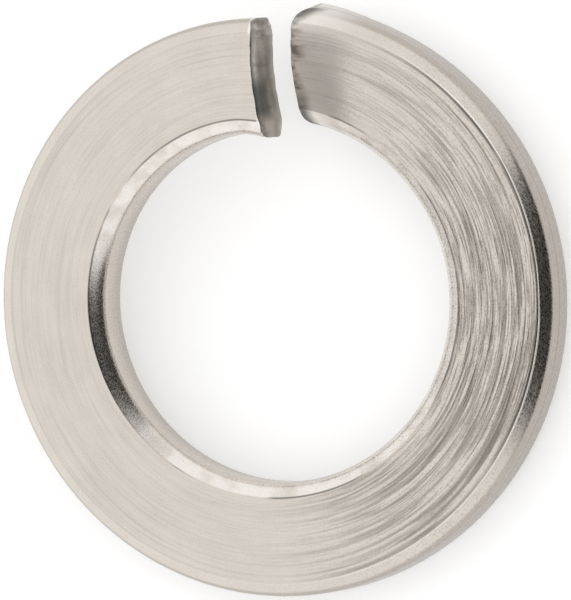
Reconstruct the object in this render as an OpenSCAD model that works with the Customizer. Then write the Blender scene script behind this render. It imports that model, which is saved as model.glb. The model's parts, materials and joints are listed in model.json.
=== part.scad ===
// Spring lock washer: one turn of keystone wire, coiled left-handed and sheared through.
// The bore runs along Z and is centred on the origin. The cut faces +Y.

/* [Wire] */
// Hole through the coil, a loose fit on a 12 mm screw
bore_d = 12.6; // [10:0.1:16]
// Width of the wire, from the hole to the rim
wire_w = 4.1; // [3:0.1:6]
// Thickness of the wire half way across its width
wire_t = 2.1; // [1.6:0.1:3]
// How much thicker the wire is at the hole than at the rim
keystone = 0.12; // [0:0.02:0.3]
// Radius of the rounding between a flat face and the rim
rim_round = 0.5; // [0.2:0.05:0.7]
// Radius of the rounding between a flat face and the hole
bore_round = 0.6; // [0.2:0.05:0.7]
// Angle at which a rounding breaks away from the flat face
edge_break = 14; // [4:1:30]

/* [Coil] */
// Climb of the coil from its low end to its high end
lift = 3.3; // [0.5:0.1:5]
// How far the low end springs outward from the true circle
end_spread = 0.25; // [0:0.05:0.5]
// Length of the coil, in degrees, over which the low end springs outward
spread_arc = 45; // [20:1:90]

/* [Sheared cut] */
// Width of the slot between the two cut faces, seen along the bore
cut_gap = 0.15; // [0.1:0.05:2]
// How far the cut hooks sideways where it meets the hole
hook = 0.45; // [0:0.05:0.8]
// Share of the wire's width that the hook takes up
hook_share = 0.6; // [0.3:0.05:0.9]
// Swelling of the low end's rim, where the shear pressed it outward
swell = 0.25; // [0:0.05:0.4]
// Length of rim, from the cut, over which the swelling dies away
swell_l = 1.3; // [0.5:0.1:3]
// Corner rounding of the low end at the rim, where the shear rolled it over
roll = 0.7; // [0.1:0.05:1]

/* [Hidden] */

bore_r = bore_d / 2;
rim_r = bore_r + wire_w;
mid_r = bore_r + wire_w / 2;
// The swept wire starts this far inside the hole, and the bore is then cut true
bore_skin = 0.05;
wall_r = bore_r - bore_skin;
stations = 84;
arc_steps = 3;
flat_steps = 4;
// Stations crowd together toward the two ends by this share
crowding = 0.6;

// Half the wire's thickness at a distance r from the axis
function half_t(r) = (wire_t - keystone * (r - mid_r) / wire_w) / 2;

// One rounded corner: side is 1 at the rim and -1 at the hole, face is 1 above and -1 below
function corner(side, face, radius) =
    let (edge = side > 0 ? rim_r : wall_r)
    let (centre_r = edge - side * radius)
    let (flat_r = centre_r + side * radius * sin(edge_break))
    let (centre_z = half_t(flat_r) - radius * cos(edge_break))
    [for (i = [0:arc_steps])
        let (a = edge_break + (90 - edge_break) * i / arc_steps)
        [centre_r + side * radius * sin(a), face * (centre_z + radius * cos(a))]];

// Points across a flat face, between its two roundings
function flat(face) =
    let (from = wall_r + bore_round * (1 - sin(edge_break)))
    let (to = rim_r - rim_round * (1 - sin(edge_break)))
    [for (i = [1:flat_steps - 1])
        let (r = from + (to - from) * i / flat_steps)
        [r, face * half_t(r)]];

function reversed(list) = [for (i = [len(list) - 1:-1:0]) list[i]];

// The wire's section as [radius, height]: out along the upper face and back along the lower one
section = concat(
    reversed(corner(-1, 1, bore_round)),
    flat(1),
    corner(1, 1, rim_round),
    reversed(corner(1, -1, rim_round)),
    reversed(flat(-1)),
    corner(-1, -1, bore_round));

// Sideways place of the shear line: straight from the rim, hooked toward the hole
hook_r = bore_r + hook_share * wire_w;
function shear_x(r) = r < hook_r ? hook * pow((hook_r - r) / (hook_r - wall_r), 1.5) : 0;

// The low end's outer corner recedes in a quarter round where the shear rolled it over
function roll_x(r) =
    let (in = max(0, 1 - (rim_r - r) / roll))
    roll * (1 - sqrt(1 - in * in));

// Clockwise angle from the slot at which each end starts and stops, for one section point
function low_angle(r) = asin((shear_x(r) + roll_x(r) + cut_gap / 2) / r);
function high_angle(r) = 360 + asin((shear_x(r) - cut_gap / 2) / r);

// Outward push at clockwise angle a for a section point
function spread(a) = end_spread * pow(max(0, 1 - a / spread_arc), 1.6);
function swelling(a, p) =
    let (run = p[0] * a * PI / 180)
    let (outer = (p[0] - wall_r) / (rim_r - wall_r))
    let (lower = (1 - p[1] / half_t(mid_r)) / 2)
    swell * exp(-pow(run / swell_l, 2)) * pow(outer, 4) * max(0, lower);

// A section point carried to clockwise angle a on the coil
function carried(p, a) =
    let (r = p[0] + spread(a) + swelling(a, p))
    [r * sin(a), r * cos(a), p[1] + lift * (a / 360 - 0.5)];

// Place of a station along the coil, from 0 at the low end to 1 at the high end
function along(i) =
    let (u = i / stations)
    u - crowding * sin(360 * u) / (2 * PI);

count = len(section);
points = [for (i = [0:stations], p = section)
    let (a = low_angle(p[0]) + (high_angle(p[0]) - low_angle(p[0])) * along(i))
    carried(p, a)];

// Each step of the coil is a belt of triangles round the section
belt = [for (i = [0:stations - 1], j = [0:count - 1])
    let (a = i * count + j)
    let (b = i * count + (j + 1) % count)
    each [[a, a + count, b], [b, a + count, b + count]]];

// Each cut face is a fan of strips between the upper and the lower half of the section
half = count / 2;
function strip(j) = [for (k = [0:half - 2])
    each [[j + k, j + k + 1, j + count - 1 - k], [j + k + 1, j + count - 2 - k, j + count - 1 - k]]];
last = stations * count;

module coil() {
    polyhedron(points, concat(belt, strip(0), [for (t = strip(last)) [t[2], t[1], t[0]]]));
}

module lock_washer() {
    color([0.82, 0.8, 0.77])
    difference() {
        coil();
        rotate(90)
            cylinder(h = 2 * (lift + wire_t + keystone), r = bore_r, center = true, $fn = 180);
    }
}

lock_washer();
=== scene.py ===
import json
import math

import bmesh
import bpy
from mathutils import Matrix, Vector, noise
from mathutils.bvhtree import BVHTree


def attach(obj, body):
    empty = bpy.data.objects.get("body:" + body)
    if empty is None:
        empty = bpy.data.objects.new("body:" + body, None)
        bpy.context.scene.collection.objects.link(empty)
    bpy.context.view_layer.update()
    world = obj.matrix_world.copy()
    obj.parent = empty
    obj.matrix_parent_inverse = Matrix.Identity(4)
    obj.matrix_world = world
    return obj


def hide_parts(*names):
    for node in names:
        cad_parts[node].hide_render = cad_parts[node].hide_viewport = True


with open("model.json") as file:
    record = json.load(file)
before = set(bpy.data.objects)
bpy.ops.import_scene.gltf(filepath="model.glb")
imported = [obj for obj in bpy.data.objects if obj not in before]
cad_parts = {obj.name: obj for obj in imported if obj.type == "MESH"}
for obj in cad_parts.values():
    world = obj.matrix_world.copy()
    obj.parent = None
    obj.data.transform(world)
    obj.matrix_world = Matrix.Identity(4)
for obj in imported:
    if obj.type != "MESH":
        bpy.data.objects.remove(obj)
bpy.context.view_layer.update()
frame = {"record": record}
scene = bpy.context.scene
mm = 0.001

# The wire. Stainless wire of a keystone section, rolled flat above and below, with its corners
# broken by a flat bevel and a small round. Coiling leaves it a little thicker at the hole.
bore = frame["record"]["mounts"][0]
bore_r = bore["dims"]["r_mm"] * mm
wire_w = 4.1 * mm
wire_t = 2.1 * mm
keystone = 0.12 * mm
rim_r = bore_r + wire_w
mid_r = bore_r + wire_w / 2
# Each edge as (width of its bevel, tilt of its bevel, radius of its round)
bore_edge = (0.30 * mm, math.radians(30), 0.50 * mm)
rim_edge = (0.26 * mm, math.radians(33), 0.45 * mm)
shoulder_w = 0.3 * mm
shoulder_tilt = math.radians(13)


def half_thickness(r):
    return (wire_t - keystone * (r - mid_r) / wire_w) / 2


def edge_columns(edge, rounds, bevels):
    """Distances from the wire's side at which its section bends, across one broken edge."""
    width, tilt, radius = edge
    steps = [math.pi / 2 + (tilt - math.pi / 2) * i / rounds for i in range(rounds + 1)]
    start = radius * (1 - math.sin(tilt))
    return [radius * (1 - math.sin(a)) for a in steps] + [
        start + width * (i + 1) / bevels for i in range(bevels)]


def edge_drop(d, edge):
    """How far a broken edge lies below the flat face at distance d from the wire's side."""
    width, tilt, radius = edge
    start = radius * (1 - math.sin(tilt))
    if d >= start:
        return max(0, start + width - d) * math.tan(tilt)
    full = width * math.tan(tilt) + radius * math.cos(tilt)
    return full - math.sqrt(max(0, radius ** 2 - (radius - d) ** 2))


def shoulder_drop(d):
    """The flat face's fall toward the rim, over the last stretch before the rim's bevel."""
    start = rim_edge[0] + rim_edge[2] * (1 - math.sin(rim_edge[1]))
    near = min(1, max(0, 1 - (d - start) / shoulder_w))
    return math.tan(shoulder_tilt) * shoulder_w * near * near / 2 * (2 - near)


def top_of_wire(r):
    """Height of the wire's upper face over its middle at radius r; the lower face mirrors it."""
    fall = edge_drop(r - bore_r, bore_edge) + edge_drop(rim_r - r, rim_edge)
    return half_thickness(r) - fall - shoulder_drop(rim_r - r)


columns = edge_columns(bore_edge, 5, 4)
rim_columns = [wire_w - d for d in reversed(edge_columns(rim_edge, 6, 3))]
face_from, face_to = columns[-1], rim_columns[0] - shoulder_w
columns += [face_from + (face_to - face_from) * i / 14 for i in range(1, 15)]
columns += [face_to + shoulder_w * i / 3 for i in (1, 2)] + rim_columns
section_rows = 14
lift = 3.3 * mm
wire = bmesh.new()
bmesh.ops.create_grid(wire, x_segments=len(columns) - 1, y_segments=section_rows, size=0.5)
for v in wire.verts:
    r = bore_r + columns[round((v.co.x + 0.5) * (len(columns) - 1))]
    v.co = Vector((0, r, top_of_wire(r) * 2 * v.co.y - lift / 2))

# The coil. One left-handed turn of the wire: going round clockwise, seen from above, it climbs
# from the low end to the high end, where the turn was sheared off the one above it.
turn_steps = 640
outline = [e for e in wire.edges if e.is_boundary]
corners = {v for e in outline for v in e.verts}
end_face = bmesh.ops.duplicate(wire, geom=wire.verts[:] + wire.edges[:] + wire.faces[:])["geom"]
end_verts = [g for g in end_face if isinstance(g, bmesh.types.BMVert)]
bmesh.ops.translate(wire, vec=(0, 0, lift), verts=end_verts)
bmesh.ops.spin(
    wire, geom=outline + list(corners), cent=(0, 0, 0), axis=(0, 0, 1), angle=-2 * math.pi,
    dvec=(0, 0, lift / turn_steps), steps=turn_steps, use_merge=False, use_duplicate=False)
bmesh.ops.remove_doubles(wire, verts=wire.verts, dist=1e-7)
bmesh.ops.recalc_face_normals(wire, faces=wire.faces)


def on_wire(co):
    """A point of the coil as (clockwise turns from the low end, radius, height off mid-wire)."""
    turn = math.atan2(co.x, co.y) / (2 * math.pi) % 1
    if turn < 0.01 and co.z > 0:
        turn += 1
    if turn > 0.99 and co.z < 0:
        turn -= 1
    return turn, math.hypot(co.x, co.y), co.z - lift * (turn - 0.5)


# The sheared cut. One stroke of the shear parts the coil: the line hooks sideways toward the
# hole, the low end springs out and swells at its rim, and the high end keeps a torn lip.
cut_gap = 0.15 * mm
hook = 0.45 * mm
hook_r = bore_r + 0.6 * wire_w
corner_roll = 0.7 * mm
inner_roll = 0.35 * mm
end_spread = 0.25 * mm
spread_turn = 45 / 360
swell = 0.25 * mm
swell_l = 1.3 * mm


def shear_x(r):
    """Sideways place of the shear line at radius r."""
    return hook * max(0, (hook_r - r) / (hook_r - bore_r)) ** 1.5


def rolled_corner(r):
    """How far the low end's corners are rolled back at radius r, the one at the hole less."""
    outer = max(0, 1 - (rim_r - r) / corner_roll)
    inner = max(0, 1 - (r - bore_r) / inner_roll)
    return (corner_roll * (1 - math.sqrt(max(0, 1 - outer * outer)))
            + inner_roll * (1 - math.sqrt(max(0, 1 - inner * inner))))


def fade(distance, length):
    """One at the cut, dying away over the given length of wire."""
    return math.exp(-(distance / length) ** 2)


for f in wire.faces:
    turns = [on_wire(v.co)[0] for v in f.verts]
    f.smooth = True
    f.material_index = 1 if max(turns) < 1e-4 or min(turns) > 1 - 1e-4 else 0
mark = wire.verts.layers.float_vector.new("wire_mm")
for v in wire.verts:
    turn, r, up = on_wire(v.co)
    level = up / half_thickness(r)
    low = (shear_x(r) + rolled_corner(r) + cut_gap / 2) / r
    high = 2 * math.pi + (shear_x(r) - cut_gap / 2) / r
    angle = low + (high - low) * turn
    run = turn * 2 * math.pi * mid_r
    left = (1 - turn) * 2 * math.pi * mid_r
    rimward = min(1, max(0, (r - bore_r) / wire_w))
    v[mark] = Vector((r - bore_r, run, up)) / mm
    out = end_spread * max(0, 1 - turn / spread_turn) ** 1.6
    out += swell * fade(run, swell_l) * rimward ** 4 * max(0, (1 - level) / 2)
    out -= 0.16 * mm * fade(left, 0.9 * mm) * (1 - rimward) ** 4
    drop = 0.06 * mm * fade(run, 0.16 * mm) * max(0, level) ** 3
    rise = 0.03 * mm * fade(left, 0.1 * mm) * max(0, level) ** 6
    if turn > 1 - 1e-4:
        # Torn face of the high end: a wavy lip, a hollow under it and long tears down the stroke
        place = Vector((r / mm * 3.0, up / mm * 0.9, 2.0))
        tear = 0.03 * noise.noise(place) + 0.02 * noise.noise(place * 2.7)
        hollow = 0.10 * math.exp(-((level - 0.72) / 0.14) ** 2)
        angle += (tear - hollow) * mm / r
    if turn < 1e-4:
        angle += 0.03 * mm * noise.noise(Vector((r / mm * 3.0, up / mm * 0.9, 5.0))) / r
    r += out
    height = up + lift * (angle / (2 * math.pi) - 0.5) - drop + rise
    v.co = Vector((r * math.sin(angle), r * math.cos(angle), height))
for e in wire.edges:
    torn = all(f.material_index == 1 for f in e.link_faces)
    e.smooth = torn or e.calc_face_angle(0) < math.radians(17)

mesh = bpy.data.meshes.new("lock_washer_detailed")
wire.to_mesh(mesh)
wire.free()
washer = bpy.data.objects.new("lock_washer_detailed", mesh)
scene.collection.objects.link(washer)
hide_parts("lock_washer")
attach(washer, "root")


# The wire's finish. Cold-drawn stainless: a pale warm satin, fine draw lines along the wire,
# heavier on its first half turn, with dark scores and flecks where the drawing die dragged.
def new_material(name):
    m = bpy.data.materials.new(name)
    m.use_nodes = True
    m.node_tree.nodes.clear()
    return m


def node(m, kind, settings=(), **links):
    """A node of m, with its settings, and its sockets linked to other outputs or given values."""
    n = m.node_tree.nodes.new("ShaderNode" + kind)
    for key, value in dict(settings).items():
        setattr(n, key, value)
    for name, value in links.items():
        socket = n.inputs[int(name[1:])] if name[1:].isdigit() else n.inputs[name.replace("_", " ")]
        if isinstance(value, bpy.types.NodeSocket):
            m.node_tree.links.new(value, socket)
        else:
            socket.default_value = value
    return n


def maths(m, operation, a, b=0.0, clamp=False):
    n = node(m, "Math", {"operation": operation, "use_clamp": clamp}, _0=a, _1=b)
    return n.outputs[0]


def wire_noise(m, coords, across, run, up, detail=2.0, seed=0.0):
    """Noise on the wire's own coordinates, with so many grains a millimetre each way."""
    scaled = node(m, "Mapping", {}, Vector=coords, Scale=(across, run, up), Location=(seed, seed, seed))
    n = node(m, "TexNoise", {}, Vector=scaled.outputs[0], Scale=1.0, Detail=detail, Roughness=0.55)
    return n.outputs[0]


def stretch(m, value, low, high, to_low=0.0, to_high=1.0):
    n = node(m, "MapRange", {"interpolation_type": "SMOOTHSTEP"},
             _0=value, _1=low, _2=high, _3=to_low, _4=to_high)
    return n.outputs[0]


def blend(m, share, a, b):
    n = node(m, "Mix", {"data_type": "RGBA"}, _0=share, _6=a, _7=b)
    return n.outputs[2]


# Bright steel also serves for painted highlights, and the score colour for painted shade, each marked
# where it is used
steel_pale = (0.69, 0.64, 0.585, 1)
steel_warm = (0.60, 0.55, 0.495, 1)
score_and_painted_shade = (0.22, 0.195, 0.17, 1)
steel_dark = (0.05, 0.045, 0.04, 1)
bright_steel_and_highlight = (0.93, 0.90, 0.86, 1)

drawn = new_material("drawn_stainless")
coords = node(drawn, "Attribute", {"attribute_name": "wire_mm"}).outputs["Vector"]
across_mm, run_mm, up_mm = node(drawn, "SeparateXYZ", {}, Vector=coords).outputs
turn_mm = 2 * math.pi * mid_r / mm

# The flat face between the two bends of the section, and its broken edges either side
bore_bend = (bore_edge[0] + bore_edge[2] * (1 - math.sin(bore_edge[1]))) / mm
rim_bend = (wire_w - rim_edge[0] - rim_edge[2] * (1 - math.sin(rim_edge[1]))) / mm
on_face = maths(drawn, "MULTIPLY", stretch(drawn, across_mm, bore_bend - 0.02, bore_bend + 0.08),
                stretch(drawn, across_mm, rim_bend + 0.02, rim_bend - 0.06))
upper_side = stretch(drawn, up_mm, 0.2, 0.6)

# Draw lines: heavy from one to five o'clock, fading out past six, and only on the flat faces
heavy = maths(drawn, "MULTIPLY", stretch(drawn, run_mm, 0.02 * turn_mm, 0.14 * turn_mm),
              stretch(drawn, run_mm, 0.38 * turn_mm, 0.52 * turn_mm, 1.0, 0.0))
line_depth = maths(drawn, "ADD", maths(drawn, "MULTIPLY", heavy, 0.85), 0.15)
line_depth = maths(drawn, "MULTIPLY", line_depth, on_face)
coarse = wire_noise(drawn, coords, 2.6, 0.09, 2.6, 3.0)
lines = wire_noise(drawn, coords, 9.0, 0.17, 9.0, 3.0, 4.0)
fine = wire_noise(drawn, coords, 16.0, 0.5, 16.0, 3.0, 7.0)
grain = wire_noise(drawn, coords, 15.0, 11.0, 15.0, 3.0, 9.0)
mottle = wire_noise(drawn, coords, 1.3, 0.9, 1.3, 3.0, 2.0)
score = maths(drawn, "MULTIPLY", stretch(drawn, lines, 0.54, 0.36), line_depth)
hair = maths(drawn, "MULTIPLY", stretch(drawn, fine, 0.52, 0.37), line_depth)
deep = maths(drawn, "MULTIPLY", stretch(drawn, coarse, 0.40, 0.33), line_depth)
flecks = maths(drawn, "MULTIPLY", stretch(drawn, grain, 0.50, 0.36),
               maths(drawn, "ADD", maths(drawn, "MULTIPLY", heavy, 0.45), 0.12))

# Tool marks: short dark scuffs that the shear's blade left beside the low end's edge
near_cut = stretch(drawn, run_mm, 0.8, 0.1)
comb = wire_noise(drawn, coords, 2.4, 0.9, 1.0, 5.0, 21.0)
scuff = stretch(drawn, maths(drawn, "ADD", comb, maths(drawn, "MULTIPLY", near_cut, 0.2)), 0.52, 0.82)
inner_corner = maths(drawn, "MULTIPLY", stretch(drawn, across_mm, 1.45, 0.85),
                     stretch(drawn, comb, 0.3, 0.55, 0.5, 1.0))
scuff = maths(drawn, "MULTIPLY", maths(drawn, "MAXIMUM", scuff, inner_corner), near_cut)
scuff = maths(drawn, "MULTIPLY", scuff, upper_side)

# The burr: painted glints on the lip of the burr at the high end's upper corners
left_mm = maths(drawn, "SUBTRACT", turn_mm, run_mm)
off_flat = maths(drawn, "ADD", stretch(drawn, across_mm, 0.66, 0.5),
                 stretch(drawn, across_mm, 3.5, 3.62), True)
painted_burr_glint = maths(drawn, "MULTIPLY", stretch(drawn, left_mm, 0.16, 0.06), off_flat)
painted_burr_glint = maths(drawn, "MULTIPLY", painted_burr_glint, maths(drawn, "MULTIPLY", upper_side, 0.7))

# Fine lines along the bends of the section: a dark crease with a ridge beside it at the rim,
# a dark crease at the hole, and the mark of the rolls half way down the rim. The ridge is a bump, and its
# bright line in the colour is a painted highlight
wear = stretch(drawn, wire_noise(drawn, coords, 1.5, 0.22, 1.5, 3.0, 31.0), 0.34, 0.58)


def crease(place, width, share):
    off = maths(drawn, "ABSOLUTE", maths(drawn, "SUBTRACT", across_mm, place))
    line = maths(drawn, "MULTIPLY", stretch(drawn, off, width, width * 0.3), upper_side)
    return maths(drawn, "MULTIPLY", line, share)


rim_wear = maths(drawn, "MULTIPLY", maths(drawn, "ADD", maths(drawn, "MULTIPLY", heavy, 0.92), 0.08),
                 stretch(drawn, wear, 0.0, 1.0, 0.4, 1.0))
rim_crease = crease(rim_bend - 0.07, 0.07, rim_wear)
rim_ridge_and_highlight = crease(rim_bend, 0.035, maths(drawn, "MULTIPLY", rim_wear, 0.75))
bore_crease = crease(bore_bend - 0.01, 0.05, stretch(drawn, wear, 0.2, 1.0, 0.05, 0.9))
off_seam = maths(drawn, "ABSOLUTE", maths(drawn, "SUBTRACT", up_mm, 0.2))
seam = maths(drawn, "MULTIPLY", stretch(drawn, off_seam, 0.05, 0.02), stretch(drawn, across_mm, 4.0, 4.08))
# Painted shade: the rim's side wall is darkened half way toward the score colour
painted_rim_wall_shade = maths(drawn, "MULTIPLY", stretch(drawn, across_mm, 3.9, 4.02), 0.5)

# The hole's side: a painted highlight along its broken edge on the upper side, and painted shade on the
# wall, darker toward its lower side
painted_bore_edge_highlight = maths(drawn, "MULTIPLY", stretch(drawn, across_mm, 0.04, 0.16),
              stretch(drawn, across_mm, bore_bend, bore_bend - 0.04))
painted_bore_edge_highlight = maths(drawn, "MULTIPLY", maths(drawn, "MULTIPLY", painted_bore_edge_highlight, upper_side),
              stretch(drawn, mottle, 0.3, 0.6, 0.12, 0.55))
painted_bore_wall_shade = maths(drawn, "MULTIPLY", stretch(drawn, across_mm, 0.14, 0.02),
                  stretch(drawn, up_mm, 0.6, -0.7, 0.12, 0.42))

tone = blend(drawn, mottle, steel_warm, steel_pale)
# Painted shade on the rim's wall and the hole's wall, then a painted highlight on the hole's edge
tone = blend(drawn, maths(drawn, "ADD", painted_rim_wall_shade, painted_bore_wall_shade), tone, score_and_painted_shade)
tone = blend(drawn, painted_bore_edge_highlight, tone, bright_steel_and_highlight)
# Painted light: the first two millimetres of the low end are lifted toward bright steel
painted_low_end_light = maths(drawn, "MULTIPLY", stretch(drawn, run_mm, 2.2, 0.5), 0.55)
tone = blend(drawn, painted_low_end_light, tone, bright_steel_and_highlight)
tone = blend(drawn, maths(drawn, "MULTIPLY", flecks, 0.55), tone, score_and_painted_shade)
tone = blend(drawn, maths(drawn, "MULTIPLY", hair, 0.5), tone, score_and_painted_shade)
tone = blend(drawn, maths(drawn, "MULTIPLY", score, 0.62), tone, score_and_painted_shade)
tone = blend(drawn, maths(drawn, "MULTIPLY", deep, 0.7), tone, score_and_painted_shade)
tone = blend(drawn, maths(drawn, "MULTIPLY", seam, 0.6), tone, score_and_painted_shade)
creases = maths(drawn, "MAXIMUM", rim_crease, bore_crease)
tone = blend(drawn, maths(drawn, "MULTIPLY", creases, 0.75), tone, steel_dark)
tone = blend(drawn, maths(drawn, "MULTIPLY", scuff, 0.8), tone, steel_dark)
# Painted highlights: glints on the burr and a bright line along the rim's ridge
tone = blend(drawn, maths(drawn, "MAXIMUM", painted_burr_glint, rim_ridge_and_highlight), tone, bright_steel_and_highlight)

height = maths(drawn, "MULTIPLY", hair, -0.6)
height = maths(drawn, "SUBTRACT", height, maths(drawn, "MULTIPLY", score, 0.9))
height = maths(drawn, "SUBTRACT", height, maths(drawn, "MULTIPLY", deep, 1.2))
grain_depth = maths(drawn, "ADD", maths(drawn, "MULTIPLY", line_depth, 0.3), 0.25)
height = maths(drawn, "ADD", height, maths(drawn, "MULTIPLY", grain, grain_depth))
height = maths(drawn, "SUBTRACT", height, maths(drawn, "MULTIPLY", scuff, 0.6))
height = maths(drawn, "ADD", height, rim_ridge_and_highlight)
bump = node(drawn, "Bump", {}, Height=height, Strength=0.7, Distance=0.02 * mm)
rough = stretch(drawn, grain, 0.3, 0.7, 0.21, 0.32)
rough = maths(drawn, "ADD", rough, stretch(drawn, run_mm, 2.6, 0.8, 0.0, 0.22))
shader = node(drawn, "BsdfPrincipled", {}, Base_Color=tone, Metallic=1.0, Roughness=rough,
              Normal=bump.outputs[0])
node(drawn, "OutputMaterial", {}, Surface=shader.outputs[0])

# The cut faces' finish. Sheared metal: burnished grey where the blade slid, torn and darker
# toward the hole where the wire broke away, and painted shade, near black, in the hollow under the lip.
sheared = new_material("sheared_stainless")
coords = node(sheared, "Attribute", {"attribute_name": "wire_mm"}).outputs["Vector"]
across_mm, run_mm, up_mm = node(sheared, "SeparateXYZ", {}, Vector=coords).outputs
tears = wire_noise(sheared, coords, 5.0, 1.0, 1.0, 3.0, 3.0)
chips = wire_noise(sheared, coords, 9.0, 1.0, 7.0, 3.0, 8.0)
patch = wire_noise(sheared, coords, 0.9, 1.0, 1.2, 2.0, 5.0)
waver = maths(sheared, "MULTIPLY", maths(sheared, "SUBTRACT", chips, 0.5), 0.16)
broken = maths(sheared, "MULTIPLY", stretch(sheared, across_mm, 2.2, 1.5),
               stretch(sheared, up_mm, -0.5, 0.1))
broken = maths(sheared, "MULTIPLY", broken, stretch(sheared, across_mm, 0.4, 0.9))
tone = blend(sheared, stretch(sheared, patch, 0.3, 0.7), (0.38, 0.36, 0.33, 1), (0.68, 0.64, 0.59, 1))
tone = blend(sheared, stretch(sheared, tears, 0.5, 0.3, 0.0, 0.35), tone, score_and_painted_shade)
tone = blend(sheared, maths(sheared, "MULTIPLY", broken, 0.8), tone, (0.15, 0.15, 0.145, 1))
tone = blend(sheared, stretch(sheared, up_mm, -0.5, -0.95, 0.0, 0.7), tone, bright_steel_and_highlight)
# Painted shade: a wavering band below the top of the cut faces is coloured near black, where the high
# end's hollow is cut
painted_shade_under_lip = stretch(sheared, maths(sheared, "ADD", up_mm, waver), 0.76, 0.84)
tone = blend(sheared, maths(sheared, "MULTIPLY", painted_shade_under_lip, 0.97), tone, (0.012, 0.010, 0.008, 1))
height = maths(sheared, "ADD", tears, maths(sheared, "MULTIPLY", chips, 0.5))
bump = node(sheared, "Bump", {}, Height=height, Strength=0.6, Distance=0.05 * mm)
shader = node(sheared, "BsdfPrincipled", {}, Base_Color=tone, Metallic=1.0, Roughness=0.5,
              Normal=bump.outputs[0])
node(sheared, "OutputMaterial", {}, Surface=shader.outputs[0])
mesh.materials.append(drawn)
mesh.materials.append(sheared)

# The floor. A pale sheet that the washer lies on at its three points of rest, found on its
# hull straight below the middle, so the sheet is a few degrees off the washer's own frame.
hull = bmesh.new()
hull.from_mesh(mesh)
bmesh.ops.convex_hull(hull, input=hull.verts)
rest = BVHTree.FromBMesh(hull).ray_cast(Vector((0, 0, 0)), Vector((0, 0, -1)))
hull.free()
rest_up = -rest[1].normalized()
sheet = bmesh.new()
bmesh.ops.create_grid(sheet, x_segments=1, y_segments=1, size=3.0)
bmesh.ops.transform(
    sheet, matrix=Matrix.Translation(rest[0]) @ rest_up.to_track_quat("Z", "Y").to_matrix().to_4x4(),
    verts=sheet.verts)
floor_mesh = bpy.data.meshes.new("floor")
sheet.to_mesh(floor_mesh)
sheet.free()
floor = bpy.data.objects.new("floor", floor_mesh)
scene.collection.objects.link(floor)
paper = new_material("white_paper")
shader = node(paper, "BsdfPrincipled", {}, Base_Color=(0.8, 0.8, 0.8, 1), Roughness=0.9,
              Emission_Color=(1, 1, 1, 1), Emission_Strength=0.28)
node(paper, "OutputMaterial", {}, Surface=shader.outputs[0])
floor_mesh.materials.append(paper)

# The camera. It looks down on the washer from a little to the right of the bore's axis, from
# far off with a long lens, as a close catalogue photograph does.
photo_w, photo_h = 571, 600
washer_px = 289.9
centre_px = Vector((284.3, 306.2))
yaw = math.radians(22.6)
pitch = math.radians(4.4)
roll = math.radians(-3.8)
cut_turn = math.radians(4.8)
distance = 0.6
turned = (Matrix.Rotation(roll, 3, "Z") @ Matrix.Rotation(pitch, 3, "X")
          @ Matrix.Rotation(-yaw, 3, "Y") @ Matrix.Rotation(cut_turn, 3, "Z"))
right, up, back = turned
px = rim_r / washer_px
aim = right * (photo_w / 2 - centre_px.x) * px + up * (centre_px.y - photo_h / 2) * px
lens = bpy.data.cameras.new("camera")
lens.sensor_fit = "HORIZONTAL"
lens.sensor_width = 36
lens.lens = 36 * distance / (photo_w * px)
lens.clip_start = 0.01
lens.clip_end = 20
camera = bpy.data.objects.new("camera", lens)
scene.collection.objects.link(camera)
camera.matrix_world = Matrix.Translation(aim + back * distance) @ turned.transposed().to_4x4()
scene.camera = camera

# The light. An even white tent all round, open on the camera's side: the dark of that opening
# is what the rounded edges facing it mirror, so it shows in reflections and nowhere else.
world = bpy.data.worlds.new("white_tent")
world.use_nodes = True
world.node_tree.nodes["Background"].inputs["Color"].default_value = (1, 1, 1, 1)
world.node_tree.nodes["Background"].inputs["Strength"].default_value = 1.1
scene.world = world
opening = bmesh.new()
top = bmesh.ops.create_vert(opening, co=(0, 0, 0.4))["vert"]
bmesh.ops.rotate(opening, verts=top, cent=(0, 0, 0), matrix=Matrix.Rotation(math.radians(6), 3, "Y"))
arc = bmesh.ops.spin(opening, geom=top, cent=(0, 0, 0), axis=(0, 1, 0), angle=math.radians(82),
                     steps=24, use_duplicate=False)
low_side = math.radians(-34)
high_side = math.radians(46)
bmesh.ops.rotate(opening, verts=opening.verts, cent=(0, 0, 0), matrix=Matrix.Rotation(low_side, 3, "Z"))
bmesh.ops.spin(opening, geom=opening.verts[:] + opening.edges[:], cent=(0, 0, 0), axis=(0, 0, 1),
               angle=high_side - low_side, steps=24, use_duplicate=False)
opening_mesh = bpy.data.meshes.new("tent_opening")
opening.to_mesh(opening_mesh)
opening.free()
tent_opening = bpy.data.objects.new("tent_opening", opening_mesh)
scene.collection.objects.link(tent_opening)
unlit = new_material("unlit_room")
shader = node(unlit, "Emission", {}, Color=(0.025, 0.023, 0.02, 1), Strength=1.0)
node(unlit, "OutputMaterial", {}, Surface=shader.outputs[0])
opening_mesh.materials.append(unlit)
tent_opening.visible_camera = False
tent_opening.visible_diffuse = False
tent_opening.visible_shadow = False
tent_opening.visible_transmission = False

scene.view_settings.view_transform = "Standard"
